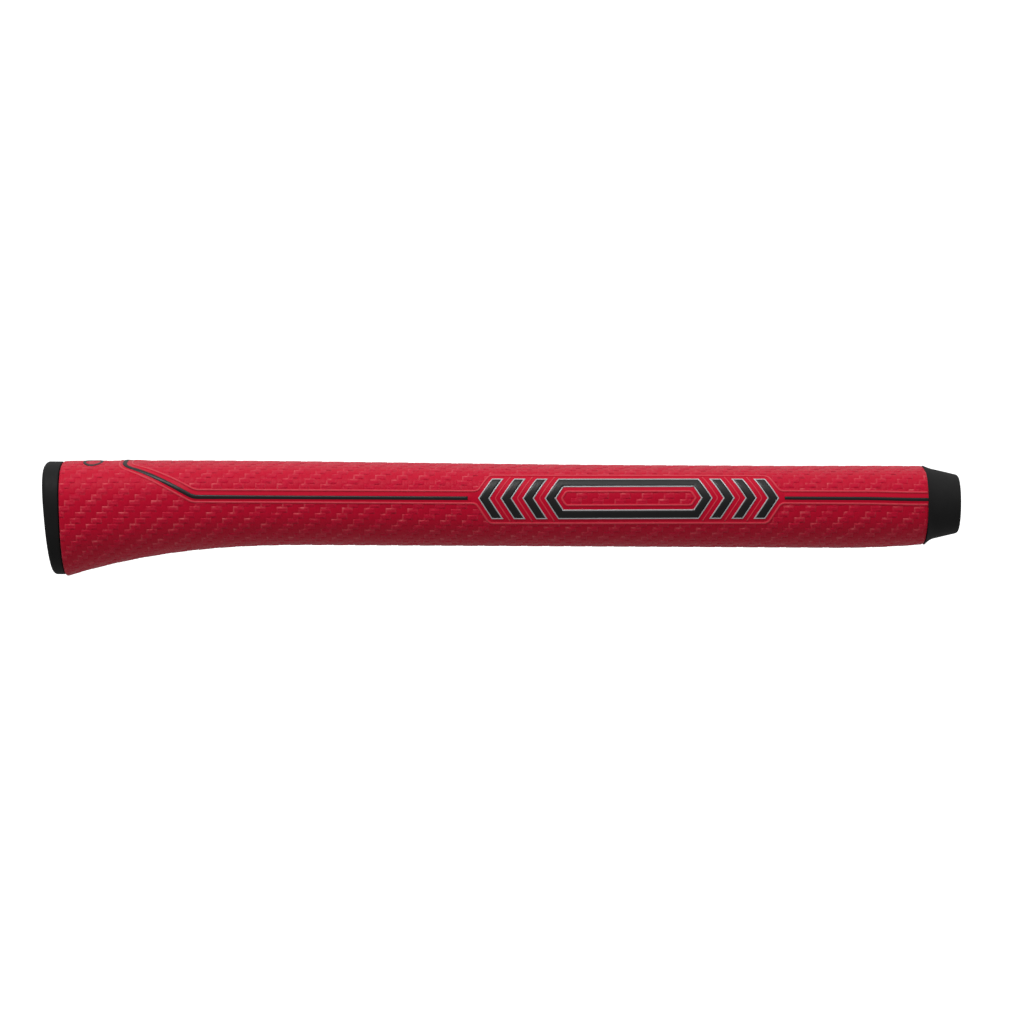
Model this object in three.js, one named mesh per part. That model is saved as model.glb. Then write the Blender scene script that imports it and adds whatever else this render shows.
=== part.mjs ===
// A pistol putter grip for a round putter shaft, in millimetres.
//
// +X runs along the bore from the butt to the tip and +Z is the flat thumb side, called the front.
// The origin is on the bore axis, where the end of the shaft seats against the butt cap.
// A foam core is wrapped in felt-backed polyurethane skin, which meets at a seam down the back.
// A rubber cap and a rubber collar close the two ends, each held by a sleeve inside the core.
import * as THREE from 'three';

// --- Driving dimensions ---------------------------------------------------------------------

// Outline of the wrapped body, measured from the bore axis.
const FRONT_HEIGHT = 11.35;
const FRONT_DIP = 0.38; // the front is this much lower at the butt
const FRONT_FALL = 0.76; // it falls by this much over the middle
const FRONT_FALL_START = 30;
const FRONT_FALL_END = 170;
const FRONT_RISE = 0.2; // and comes back up by this much before the tip
const FRONT_RISE_START = 205;
const FRONT_RISE_END = 245;
const BACK_DEPTH = 13.0;
const HALF_WIDTH = 12.2;
const FRONT_SQUARENESS = 2.6; // superellipse powers of the section's two halves
const BACK_SQUARENESS = 2.0;

// Pistol flare at the butt, deep at the back and slight at the sides.
const FLARE_LENGTH = 75;
const FLARE_POWER = 2.44;
const FLARE_DEPTH = 9.95;
const FLARE_WIDTH = 1.3;

// Taper at the tip.
const TAPER_START = 226;
const TAPER_LENGTH = 25;
const TAPER_POWER = 1.9;
const TAPER_DEPTH = 1.1;
const TAPER_WIDTH = 0.85;

// Layers, from the outside in.
const SKIN_THICKNESS = 0.8;
const FELT_THICKNESS = 0.55;
const LAYER_GAP = 0.06;
const SEAM_WIDTH = 1.6;
const SEAM_GAP = 0.08;
const SEAM_SINK = 0.05; // the seam strip lies this much below the skin
const SHOULDER_DROP = 0.35; // how far the skin's two ends are rolled in
const SHOULDER_LENGTH = 1.6;
const WRAP_END = 251.2;

// Bore and the two sleeves round it.
const BORE_RADIUS = 7.25;
const SLEEVE_RADIUS = 8.45;
const SLEEVE_CHAMFER = 0.5;
const SOCKET_GAP = 0.1;
const END_GAP = 0.25;

// Butt cap. Its joint with the wrap and its end face lean outwards towards the front.
const CAP_JOINT_X = -0.1;
const CAP_JOINT_LEAN = Math.tan(THREE.MathUtils.degToRad(1.6));
const CAP_FACE_X = -4.65;
const CAP_FACE_LEAN = Math.tan(THREE.MathUtils.degToRad(4.2));
const CAP_INSET = 0.45; // how far the flange lies inside the wrap's outline at the sides
const CAP_INSET_TILT = 0.33; // less at the front and more at the back by this much
const CAP_EDGE_RADIUS = 1.3;
const CAP_EDGE_STEPS = 4;
const CAP_INNER_CHAMFER = 0.3;
const CAP_SLEEVE_LENGTH = 10;
const VENT_RADIUS = 1.5;
const LEAN_FADE = 10; // the wrap's stations stop leaning this far from the butt

// Tip collar: a cone that flares into a lip over the wrap's end.
const COLLAR_BACK = 251.5;
const COLLAR_TIP = 261.4;
const CONE_TIP_RADIUS = 8.45;
const CONE_SLOPE = Math.tan(THREE.MathUtils.degToRad(13.5));
const LIP_X = 251.65;
const LIP_LENGTH = 2.6;
const LIP_STAND = 0.76;
const LIP_TILT = 0.39; // the lip stands this much further out at the back than at the sides
const COLLAR_EDGE_RADIUS = 0.8;
const COLLAR_SLEEVE_LENGTH = 8;
const MOUTH_RADIUS = 6.6;

// Raised black line. Across the front it is measured in arc length from the front centreline,
// scaled so that the side line is at LINE_REACH everywhere.
const LINE_HEIGHT = 3.0; // the side line's height above the bore axis at the butt
const LINE_RISE = 0.5; // it rises by this much along the emblem
const LINE_DROP = 0.3; // and drops by this much from LINE_DROP_START to its end
const LINE_DROP_START = 232;
const LINE_REACH = 16;
const LINE_HALF_WIDTH = 0.58;
const LINE_STAND = 0.4;
const LINE_EDGE_STAND = 0.2;
const LINE_KINK_X = 38.9;
const LINE_KINK_CORNER = 1.2;
const LINE_FRONT_X = 18.3;
const LINE_FRONT_REACH = 5.0;
const LINE_FRONT_CORNER = 3.2;
const LINE_BUTT_END = 118.2;
const LINE_TIP_START = 209.8;
const LINE_TIP_END = 250.9;

// Emblem on each side: three chevrons, a long hexagonal ring and three chevrons.
const EMBLEM_CENTRE = 164.7;
const EMBLEM_LENGTH = 87;
const EMBLEM_HALF_HEIGHT = 6.1;
const EMBLEM_POINT = 4.0; // how far each chevron's point runs ahead of its ends
const EMBLEM_STROKE = 3.4;
const CHEVRONS = 3;
const CHEVRON_PITCH = 6.4;
const EMBLEM_STEPS = 4;
const INLAY_LIFT = 0.1;
const INLAY_STAND = 0.35;

// Oval ring on the front near the butt, longer across the grip than along it.
const RING_X = 8.8;
const RING_OUTER = { halfLength: 2.92, halfSpan: 5.0 };
const RING_INNER = { halfLength: 2.08, halfSpan: 3.4 };
const RING_STEPS = 28;

// How finely round shapes are divided.
const SIDES = 40;
const ARC_STEP = THREE.MathUtils.degToRad(0.25);
const STEP_ACROSS = 1.7;
const BODY_STATIONS = [5, 10, 16, 23, 31, 40, 52, 75, 130, 190, TAPER_START, 234, 241, 246];

const FRONT = Math.PI / 2;
const BACK = -Math.PI / 2;

// --- The wrapped body's surface -------------------------------------------------------------

const { smoothstep } = THREE.MathUtils;
const flare = (x) => Math.max(0, 1 - x / FLARE_LENGTH) ** FLARE_POWER;
const taper = (x) => Math.max(0, (x - TAPER_START) / TAPER_LENGTH) ** TAPER_POWER;
const frontFall = (x) => FRONT_FALL * smoothstep(x, FRONT_FALL_START, FRONT_FALL_END)
  - FRONT_RISE * smoothstep(x, FRONT_RISE_START, FRONT_RISE_END);
const frontHeight = (x) => FRONT_HEIGHT - FRONT_DIP * flare(x) - frontFall(x);
const backDepth = (x) => BACK_DEPTH + FLARE_DEPTH * flare(x) - TAPER_DEPTH * taper(x);
const halfWidth = (x) => HALF_WIDTH + FLARE_WIDTH * flare(x) - TAPER_WIDTH * taper(x);

// A point of the section at x. The angle runs from +Y towards +Z about the section's own centre.
function outlinePoint(x, angle) {
  const centre = (frontHeight(x) - backDepth(x)) / 2;
  const halfDepth = (frontHeight(x) + backDepth(x)) / 2;
  const power = Math.sin(angle) > 0 ? FRONT_SQUARENESS : BACK_SQUARENESS;
  const across = Math.abs(Math.cos(angle) / halfWidth(x)) ** power;
  const along = Math.abs(Math.sin(angle) / halfDepth) ** power;
  const radius = (across + along) ** (-1 / power);
  return new THREE.Vector3(x, radius * Math.cos(angle), centre + radius * Math.sin(angle));
}

// The same point moved out of the surface by `lift`, within the section.
function surfacePoint(x, angle, lift) {
  const tangent = outlinePoint(x, angle + ARC_STEP).sub(outlinePoint(x, angle - ARC_STEP)).normalize();
  const outward = new THREE.Vector3(0, tangent.z, -tangent.y);
  return outlinePoint(x, angle).addScaledVector(outward, lift);
}

// Walks down the +Y side of a section from the front centreline until isThere says stop.
function walkDown(x, isThere) {
  let angle = FRONT;
  let reach = 0;
  let here = outlinePoint(x, angle);
  while (angle > BACK && !isThere(reach, here)) {
    angle -= ARC_STEP;
    const next = outlinePoint(x, angle);
    reach += next.distanceTo(here);
    here = next;
  }
  return { angle, reach };
}

const sideLineHeight = (x) => LINE_HEIGHT + LINE_RISE * smoothstep(x, LINE_BUTT_END, LINE_TIP_START)
  - LINE_DROP * smoothstep(x, LINE_DROP_START, LINE_TIP_END);
const sideLineReach = (x) => walkDown(x, (reach, point) => point.z <= sideLineHeight(x)).reach;

// A point of the wrap at an arc length from the front centreline, negative on the -Y side.
function pointAtReach(x, reach, lift) {
  const { angle } = walkDown(x, (travelled) => travelled >= Math.abs(reach));
  const point = surfacePoint(x, angle, lift);
  point.y *= Math.sign(reach) || 1;
  return point;
}

// --- Building closed solids from grids of points --------------------------------------------

// Makes a geometry whose faces point out, whichever way its quads were listed.
function closedGeometry(points, quads) {
  const triangles = quads.flatMap(([a, b, c, d]) => [[a, b, c], [a, c, d]]);
  let volume = 0;
  for (const [a, b, c] of triangles) {
    volume += points[a].dot(new THREE.Vector3().crossVectors(points[b], points[c]));
  }
  const outward = volume > 0 ? triangles : triangles.map(([a, b, c]) => [a, c, b]);
  const geometry = new THREE.BufferGeometry();
  geometry.setAttribute('position', new THREE.Float32BufferAttribute(points.flatMap((p) => p.toArray()), 3));
  geometry.setIndex(outward.flat());
  geometry.computeVertexNormals();
  return geometry;
}

// Two matching grids of points, outside and inside, joined by walls into one closed slab.
// When `closed`, the last row joins the first.
function slab(outside, inside, closed = false) {
  const rows = outside.length;
  const columns = outside[0].length;
  const at = (side, row, column) => (side * rows + (row % rows)) * columns + column;
  const quads = [];
  for (let row = 0; row < (closed ? rows : rows - 1); row++) {
    for (let column = 0; column < columns - 1; column++) {
      const next = column + 1;
      quads.push([at(0, row, column), at(0, row, next), at(0, row + 1, next), at(0, row + 1, column)]);
      quads.push([at(1, row, column), at(1, row + 1, column), at(1, row + 1, next), at(1, row, next)]);
    }
    const last = columns - 1;
    quads.push([at(0, row, 0), at(0, row + 1, 0), at(1, row + 1, 0), at(1, row, 0)]);
    quads.push([at(0, row, last), at(1, row, last), at(1, row + 1, last), at(0, row + 1, last)]);
  }
  for (let column = 0; column < columns - 1 && !closed; column++) {
    const end = rows - 1;
    quads.push([at(0, 0, column), at(1, 0, column), at(1, 0, column + 1), at(0, 0, column + 1)]);
    quads.push([at(0, end, column), at(0, end, column + 1), at(1, end, column + 1), at(1, end, column)]);
  }
  return closedGeometry([...outside.flat(), ...inside.flat()], quads);
}

// Closed rings joined one to the next, and the last to the first, round a hole that runs through.
function tube(rings) {
  const count = rings[0].length;
  const at = (ring, k) => (ring % rings.length) * count + (k % count);
  const quads = rings.flatMap((_, ring) =>
    rings[ring].map((__, k) => [at(ring, k), at(ring, k + 1), at(ring + 1, k + 1), at(ring + 1, k)]));
  return closedGeometry(rings.flat(), quads);
}

// Angles round a section, from one edge of the seam to the other.
function anglesAround(x) {
  const halfDepth = (frontHeight(x) + backDepth(x)) / 2;
  const seamAngle = (SEAM_WIDTH / 2 + SEAM_GAP) / halfDepth;
  const span = 2 * Math.PI - 2 * seamAngle;
  return Array.from({ length: SIDES + 1 }, (_, k) => BACK + seamAngle + (span * k) / SIDES);
}

const capJoint = (z) => CAP_JOINT_X - CAP_JOINT_LEAN * z;
const capFace = (z) => CAP_FACE_X - CAP_FACE_LEAN * z;

// A ring of the wrapped body. Stations near the butt lean with the cap's joint.
function bodyRing(station, lift) {
  const lean = Math.max(0, 1 - station / LEAN_FADE);
  return anglesAround(station).map((angle) => {
    const x = station + lean * (capJoint(outlinePoint(station, angle).z) + END_GAP);
    return surfacePoint(x, angle, lift);
  });
}

function circle(radius, x) {
  return anglesAround(0).map((angle) => {
    const z = radius * Math.sin(angle);
    return new THREE.Vector3(typeof x === 'function' ? x(z) : x, radius * Math.cos(angle), z);
  });
}

// --- Body layers ----------------------------------------------------------------------------

const skinInside = -SKIN_THICKNESS;
const feltOutside = skinInside - LAYER_GAP;
const feltInside = feltOutside - FELT_THICKNESS;
const coreOutside = feltInside - LAYER_GAP;

const layerStations = [0, SHOULDER_LENGTH, ...BODY_STATIONS, WRAP_END - SHOULDER_LENGTH, WRAP_END];

// The skin's outside rolls in at both ends.
function outerWrap() {
  const half = SHOULDER_LENGTH / 4;
  const rolled = [[0, SHOULDER_DROP], [half, SHOULDER_DROP / 4], [SHOULDER_LENGTH, 0]];
  const butt = rolled.map(([x, drop]) => [x, drop]);
  const tip = rolled.map(([x, drop]) => [WRAP_END - x, drop]).reverse();
  const stations = [...butt, ...BODY_STATIONS.map((x) => [x, 0]), ...tip];
  const outside = stations.map(([x, drop]) => bodyRing(x, -drop));
  const inside = stations.map(([x]) => bodyRing(x, skinInside));
  return slab(outside, inside);
}

function feltBacking() {
  const outside = layerStations.map((x) => bodyRing(x, feltOutside));
  const inside = layerStations.map((x) => bodyRing(x, feltInside));
  return slab(outside, inside);
}

function underlistingCore() {
  const outside = layerStations.map((x) => bodyRing(x, coreOutside));
  const socketRadius = SLEEVE_RADIUS + SOCKET_GAP;
  const tipSocket = COLLAR_BACK - COLLAR_SLEEVE_LENGTH - END_GAP;
  const buttSocket = CAP_SLEEVE_LENGTH + END_GAP;
  return tube([
    ...outside,
    circle(socketRadius, WRAP_END),
    circle(socketRadius, tipSocket),
    circle(BORE_RADIUS, tipSocket),
    circle(BORE_RADIUS, buttSocket),
    circle(socketRadius, buttSocket),
    circle(socketRadius, (z) => capJoint(z) + END_GAP),
  ]);
}

// The strip between the skin's two edges, as deep as the skin and its felt.
function seamStrip() {
  const row = (station, lift) => [-1, 0, 1].map((side) => {
    const halfDepth = (frontHeight(station) + backDepth(station)) / 2;
    const lean = Math.max(0, 1 - station / LEAN_FADE);
    const x = station + lean * (capJoint(-backDepth(station)) + END_GAP);
    return surfacePoint(x, BACK + (side * SEAM_WIDTH) / 2 / halfDepth, lift);
  });
  const outside = layerStations.map((x, i) => {
    const atEnd = i === 0 || i === layerStations.length - 1;
    return row(x, -(atEnd ? SHOULDER_DROP : SEAM_SINK));
  });
  const inside = layerStations.map((x) => row(x, feltInside));
  return slab(outside, inside);
}

// --- Rubber ends ----------------------------------------------------------------------------

// A ring of the cap's flange, `inset` in from the wrap's outline, on the leaning plane planeX(z).
function flangeRing(inset, planeX) {
  return anglesAround(0).map((angle) => {
    const point = surfacePoint(0, angle, CAP_INSET_TILT * Math.sin(angle) - inset);
    point.x = planeX(point.z);
    return point;
  });
}

function buttCap() {
  const edge = Array.from({ length: CAP_EDGE_STEPS + 1 }, (_, k) => {
    const turn = (FRONT * k) / CAP_EDGE_STEPS;
    const inset = CAP_INSET + CAP_EDGE_RADIUS * (1 - Math.cos(turn));
    const back = CAP_EDGE_RADIUS * (1 - Math.sin(turn));
    return flangeRing(inset, (z) => capFace(z) + back);
  });
  return tube([
    flangeRing(CAP_INSET + CAP_INNER_CHAMFER, capJoint),
    flangeRing(CAP_INSET, (z) => capJoint(z) - CAP_INNER_CHAMFER),
    ...edge,
    circle(VENT_RADIUS, capFace),
    circle(VENT_RADIUS, 0),
    circle(BORE_RADIUS, 0),
    circle(BORE_RADIUS, CAP_SLEEVE_LENGTH),
    circle(SLEEVE_RADIUS - SLEEVE_CHAMFER, CAP_SLEEVE_LENGTH),
    circle(SLEEVE_RADIUS, CAP_SLEEVE_LENGTH - SLEEVE_CHAMFER),
    circle(SLEEVE_RADIUS, capJoint),
  ]);
}

// A ring of the collar's outside: a cone that flares into the lip.
function collarRing(x, inset = 0) {
  const cone = CONE_TIP_RADIUS + CONE_SLOPE * (COLLAR_TIP - x);
  const flareOut = Math.max(0, 1 - (x - LIP_X) / LIP_LENGTH) ** 2;
  return anglesAround(0).map((angle) => {
    const radius = cone + (LIP_STAND - LIP_TILT * Math.sin(angle)) * flareOut - inset;
    return new THREE.Vector3(x, radius * Math.cos(angle), radius * Math.sin(angle));
  });
}

function tipCollar() {
  const sleeveEnd = COLLAR_BACK - COLLAR_SLEEVE_LENGTH;
  const lip = [0, 0.15, 0.35, 0.6, 1].map((share) => collarRing(LIP_X + share * LIP_LENGTH));
  const edgeStart = COLLAR_TIP - COLLAR_EDGE_RADIUS;
  const edge = [0, 0.35, 0.75, 1].map((share) => {
    const turn = FRONT * share;
    const inset = COLLAR_EDGE_RADIUS * (1 - Math.cos(turn));
    return collarRing(edgeStart + COLLAR_EDGE_RADIUS * Math.sin(turn), inset);
  });
  return tube([
    circle(CONE_TIP_RADIUS + LIP_STAND, COLLAR_BACK),
    circle(CONE_TIP_RADIUS + CONE_SLOPE * (COLLAR_TIP - COLLAR_BACK), COLLAR_BACK),
    ...lip,
    ...edge,
    circle(MOUTH_RADIUS, COLLAR_TIP),
    circle(BORE_RADIUS, sleeveEnd),
    circle(SLEEVE_RADIUS - SLEEVE_CHAMFER, sleeveEnd),
    circle(SLEEVE_RADIUS, sleeveEnd + SLEEVE_CHAMFER),
    circle(SLEEVE_RADIUS, COLLAR_BACK),
  ]);
}

// --- Inlays laid on the wrap ----------------------------------------------------------------

// A strip along `route`, a list of (x, across) points. `profile` lists how far aside each column
// lies and how far it stands up, and `place` turns (x, across, lift) into a point. Corners are
// mitred, unless every row is offset in the direction `sideways`.
function strip(route, profile, place, { closed = false, sideways } = {}) {
  const heading = (from, to) => to.clone().sub(from).normalize();
  const last = route.length - 1;
  const asides = route.map((centre, i) => {
    const before = closed || i > 0 ? heading(route.at(i - 1), centre) : heading(centre, route[1]);
    const after = closed || i < last ? heading(centre, route[(i + 1) % route.length]) : before;
    const middle = before.clone().add(after).normalize();
    return sideways ?? new THREE.Vector2(-middle.y, middle.x).divideScalar(middle.dot(after));
  });
  const grid = (liftOf) => route.map((centre, i) => profile.map(([aside, stand]) => {
    const at = centre.clone().addScaledVector(asides[i], aside);
    return place(at.x, at.y, liftOf(stand));
  }));
  return slab(grid((stand) => stand), grid(() => INLAY_LIFT), closed);
}

// Straight legs between corners, with a radius for each inner corner, divided finely where the
// route climbs.
function roundedRoute(corners, radii) {
  const path = new THREE.Path().moveTo(corners[0].x, corners[0].y);
  for (let i = 1; i < corners.length - 1; i++) {
    const corner = corners[i];
    const radius = radii[i - 1];
    const towards = (other) => corner.clone().addScaledVector(other.clone().sub(corner).normalize(), radius);
    const start = towards(corners[i - 1]);
    const end = towards(corners[i + 1]);
    path.lineTo(start.x, start.y);
    path.quadraticCurveTo(corner.x, corner.y, end.x, end.y);
  }
  path.lineTo(corners.at(-1).x, corners.at(-1).y);
  const points = path.curves.flatMap((curve) => {
    const climb = Math.abs(curve.getPoint(1).y - curve.getPoint(0).y);
    return curve.getPoints(Math.max(2, Math.ceil(climb / STEP_ACROSS)) + 1).slice(1);
  });
  return [corners[0], ...points];
}

const halfRound = [
  [-LINE_HALF_WIDTH, LINE_EDGE_STAND],
  [-LINE_HALF_WIDTH / 2, LINE_STAND],
  [LINE_HALF_WIDTH / 2, LINE_STAND],
  [LINE_HALF_WIDTH, LINE_EDGE_STAND],
];
const onLine = (x, across, lift) => pointAtReach(x, (across / LINE_REACH) * sideLineReach(x), lift);

// The butt's line runs up one side, over the front and down the other side, in one piece.
function stripeButt() {
  const half = [
    new THREE.Vector2(LINE_BUTT_END, LINE_REACH),
    new THREE.Vector2(LINE_KINK_X, LINE_REACH),
    new THREE.Vector2(LINE_FRONT_X, LINE_FRONT_REACH),
  ];
  const mirrored = half.map(({ x, y }) => new THREE.Vector2(x, -y)).reverse();
  const radii = [LINE_KINK_CORNER, LINE_FRONT_CORNER, LINE_FRONT_CORNER, LINE_KINK_CORNER];
  return strip(roundedRoute([...half, ...mirrored], radii), halfRound, onLine);
}

function stripeTip(side) {
  const middleOfDrop = (LINE_DROP_START + LINE_TIP_END) / 2;
  const stations = [LINE_TIP_START, TAPER_START, LINE_DROP_START, middleOfDrop, LINE_TIP_END];
  const route = stations.map((x) => new THREE.Vector2(x, side * LINE_REACH));
  return strip(route, halfRound, onLine);
}

// Emblem pieces are placed by their height above the side line, on the side given.
const onSide = (side) => (x, above, lift) => pointAtReach(x, side * (sideLineReach(x) - above), lift);
const inlayTop = INLAY_LIFT + INLAY_STAND;
const flatProfile = (halfWidth) => [-halfWidth, 0, halfWidth].map((aside) => [aside, inlayTop]);

// A chevron whose point is at `pointX` and faces `facing`, -1 for the butt and +1 for the tip.
function chevron(side, pointX, facing) {
  const route = Array.from({ length: 2 * EMBLEM_STEPS + 1 }, (_, k) => {
    const above = EMBLEM_HALF_HEIGHT * (k / EMBLEM_STEPS - 1);
    const behind = (EMBLEM_POINT * Math.abs(above)) / EMBLEM_HALF_HEIGHT;
    return new THREE.Vector2(pointX - facing * (behind + EMBLEM_STROKE / 2), above);
  });
  return strip(route, flatProfile(EMBLEM_STROKE / 2), onSide(side), { sideways: new THREE.Vector2(1, 0) });
}

function hexagonRing(side, halfLength) {
  const stroke = EMBLEM_STROKE / Math.hypot(1, EMBLEM_POINT / EMBLEM_HALF_HEIGHT);
  const height = EMBLEM_HALF_HEIGHT - stroke / 2;
  const shoulder = halfLength - EMBLEM_STROKE / 2 - (EMBLEM_POINT * height) / EMBLEM_HALF_HEIGHT;
  const point = halfLength - EMBLEM_STROKE / 2;
  const corners = [[-point, 0], [-shoulder, height], [shoulder, height], [point, 0], [shoulder, -height],
    [-shoulder, -height]].map(([x, y]) => new THREE.Vector2(EMBLEM_CENTRE + x, y));
  const route = corners.flatMap((corner, i) => {
    const next = corners[(i + 1) % corners.length];
    const steps = Math.max(1, Math.ceil(Math.abs(next.y - corner.y) / STEP_ACROSS));
    return Array.from({ length: steps }, (_, k) => corner.clone().lerp(next, k / steps));
  });
  return strip(route, flatProfile(stroke / 2), onSide(side), { closed: true });
}

// The seven pieces of one side's emblem, numbered from the butt.
function emblem(side) {
  const halfLength = EMBLEM_LENGTH / 2;
  const ringHalfLength = halfLength - CHEVRONS * CHEVRON_PITCH;
  const outward = Array.from({ length: CHEVRONS }, (_, k) => halfLength - k * CHEVRON_PITCH);
  return [
    ...outward.map((distance) => chevron(side, EMBLEM_CENTRE - distance, -1)),
    hexagonRing(side, ringHalfLength),
    ...outward.map((distance) => chevron(side, EMBLEM_CENTRE + distance, 1)).reverse(),
  ];
}

function frontRing() {
  const turns = Array.from({ length: RING_STEPS }, (_, k) => (2 * Math.PI * k) / RING_STEPS);
  const grid = (lift) => turns.map((turn) => [RING_INNER, RING_OUTER].map(({ halfLength, halfSpan }) =>
    pointAtReach(RING_X + halfLength * Math.cos(turn), halfSpan * Math.sin(turn), lift)));
  return slab(grid(inlayTop), grid(INLAY_LIFT), true);
}

// --- The assembly ---------------------------------------------------------------------------

const RED_SKIN = { color: '#b5122b', roughness: 0.55, metalness: 0 };
const BLACK_RUBBER = { color: '#1c1c1c', roughness: 0.75, metalness: 0 };
const BLACK_INLAY = { color: '#151515', roughness: 0.4, metalness: 0 };
const GREY_FOAM = { color: '#3a3a3c', roughness: 0.95, metalness: 0 };
const WHITE_FELT = { color: '#c9c5bc', roughness: 1, metalness: 0 };

const group = new THREE.Group();

function addPart(name, geometry, finish) {
  const mesh = new THREE.Mesh(geometry, new THREE.MeshStandardMaterial(finish));
  mesh.name = name;
  group.add(mesh);
}

addPart('underlisting_core', underlistingCore(), GREY_FOAM);
addPart('felt_backing', feltBacking(), WHITE_FELT);
addPart('outer_wrap', outerWrap(), RED_SKIN);
addPart('seam_strip', seamStrip(), RED_SKIN);
addPart('butt_cap', buttCap(), BLACK_RUBBER);
addPart('tip_collar', tipCollar(), BLACK_RUBBER);
addPart('stripe_butt', stripeButt(), BLACK_INLAY);
addPart('front_ring', frontRing(), BLACK_INLAY);
for (const [sideName, side] of [['left', -1], ['right', 1]]) {
  addPart(`stripe_tip_${sideName}`, stripeTip(side), BLACK_INLAY);
  emblem(side).forEach((piece, i) => addPart(`${sideName}_emblem_${i + 1}`, piece, BLACK_INLAY));
}

export default group;
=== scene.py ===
import math

import bpy
import numpy as np
from mathutils import Matrix, Vector


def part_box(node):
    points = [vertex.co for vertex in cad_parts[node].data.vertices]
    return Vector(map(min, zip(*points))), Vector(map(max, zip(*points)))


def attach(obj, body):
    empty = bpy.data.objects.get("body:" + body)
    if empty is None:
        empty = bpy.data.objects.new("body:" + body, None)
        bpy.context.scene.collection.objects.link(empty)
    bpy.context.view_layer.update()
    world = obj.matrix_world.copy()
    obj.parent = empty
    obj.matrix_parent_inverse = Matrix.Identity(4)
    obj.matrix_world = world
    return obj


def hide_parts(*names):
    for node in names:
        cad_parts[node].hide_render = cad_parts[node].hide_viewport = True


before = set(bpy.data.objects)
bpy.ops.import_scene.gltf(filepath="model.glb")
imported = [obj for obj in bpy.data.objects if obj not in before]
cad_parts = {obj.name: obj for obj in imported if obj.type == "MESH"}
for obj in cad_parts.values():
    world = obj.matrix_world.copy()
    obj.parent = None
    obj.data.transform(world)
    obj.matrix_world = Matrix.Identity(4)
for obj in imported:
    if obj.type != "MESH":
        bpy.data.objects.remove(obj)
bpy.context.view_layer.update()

MM = 0.001

# --- Driving dimensions, the same as the CAD part's ---

FRONT_HEIGHT = 11.35 * MM
FRONT_DIP = 0.38 * MM
FRONT_FALL = 0.76 * MM
FRONT_FALL_START = 30 * MM
FRONT_FALL_END = 170 * MM
FRONT_RISE = 0.2 * MM
FRONT_RISE_START = 205 * MM
FRONT_RISE_END = 245 * MM
BACK_DEPTH = 13.0 * MM
HALF_WIDTH = 12.2 * MM
FRONT_SQUARENESS = 2.6
BACK_SQUARENESS = 2.0
FLARE_LENGTH = 75 * MM
FLARE_POWER = 2.44
FLARE_DEPTH = 9.95 * MM
FLARE_WIDTH = 1.3 * MM
TAPER_START = 226 * MM
TAPER_LENGTH = 25 * MM
TAPER_POWER = 1.9
TAPER_DEPTH = 1.1 * MM
TAPER_WIDTH = 0.85 * MM

SKIN_THICKNESS = 0.8 * MM
CORE_DEPTH = 1.47 * MM  # from the skin's outside to the core's
SEAM_WIDTH = 1.6 * MM
SEAM_GAP = 0.08 * MM
LEAN_FADE = 10 * MM

BORE_RADIUS = 7.25 * MM
SLEEVE_RADIUS = 8.45 * MM
SLEEVE_CHAMFER = 0.5 * MM
SOCKET_GAP = 0.1 * MM
END_GAP = 0.25 * MM

CAP_JOINT_X = -0.1 * MM
CAP_JOINT_LEAN = math.tan(math.radians(1.6))
CAP_FACE_X = -4.65 * MM
CAP_FACE_LEAN = math.tan(math.radians(4.2))
CAP_INSET = 0.45 * MM
CAP_INSET_TILT = 0.33 * MM
CAP_EDGE_RADIUS = 1.3 * MM
CAP_SLEEVE_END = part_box("butt_cap")[1].x
VENT_RADIUS = 1.5 * MM

COLLAR_BACK = 251.5 * MM
COLLAR_SLEEVE_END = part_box("tip_collar")[0].x
COLLAR_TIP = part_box("tip_collar")[1].x
CONE_TIP_RADIUS = 8.45 * MM
CONE_SLOPE = math.tan(math.radians(13.5))
LIP_X = 251.65 * MM
LIP_LENGTH = 2.6 * MM
LIP_STAND = 0.76 * MM
LIP_TILT = 0.39 * MM
COLLAR_EDGE_RADIUS = 0.8 * MM
MOUTH_RADIUS = 6.6 * MM

LINE_HEIGHT = 3.0 * MM
LINE_RISE = 0.5 * MM
LINE_DROP = 0.3 * MM
LINE_DROP_START = 232 * MM
LINE_REACH = 16 * MM
LINE_HALF_WIDTH = 0.58 * MM
LINE_KINK_X = 38.9 * MM
LINE_KINK_CORNER = 1.2 * MM
LINE_FRONT_X = 18.3 * MM
LINE_FRONT_REACH = 5.0 * MM
LINE_BUTT_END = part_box("stripe_butt")[1].x
LINE_TIP_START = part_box("stripe_tip_left")[0].x
LINE_TIP_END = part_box("stripe_tip_left")[1].x

EMBLEM_CENTRE = (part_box("left_emblem_1")[0].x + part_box("left_emblem_7")[1].x) / 2
EMBLEM_HALF_LENGTH = (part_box("left_emblem_7")[1].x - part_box("left_emblem_1")[0].x) / 2
EMBLEM_HALF_HEIGHT = 6.1 * MM
EMBLEM_POINT = 4.0 * MM
EMBLEM_STROKE = 3.4 * MM
EMBLEM_SLOPE = EMBLEM_POINT / EMBLEM_HALF_HEIGHT
EMBLEM_LEAN = math.hypot(1, EMBLEM_SLOPE)
STROKE_WIDTH = EMBLEM_STROKE / EMBLEM_LEAN  # EMBLEM_STROKE is measured along the grip
SIDES = (("left", -1), ("right", 1))
CHEVRONS = 3
CHEVRON_PITCH = 6.4 * MM
LONG_RING_HALF_LENGTH = EMBLEM_HALF_LENGTH - CHEVRONS * CHEVRON_PITCH

RING_X = 8.8 * MM
RING_OUTER = (2.92 * MM, 5.0 * MM)  # half length and half span
RING_INNER = (2.08 * MM, 3.4 * MM)

# --- Surface detail that only the visual model has ---

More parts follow.
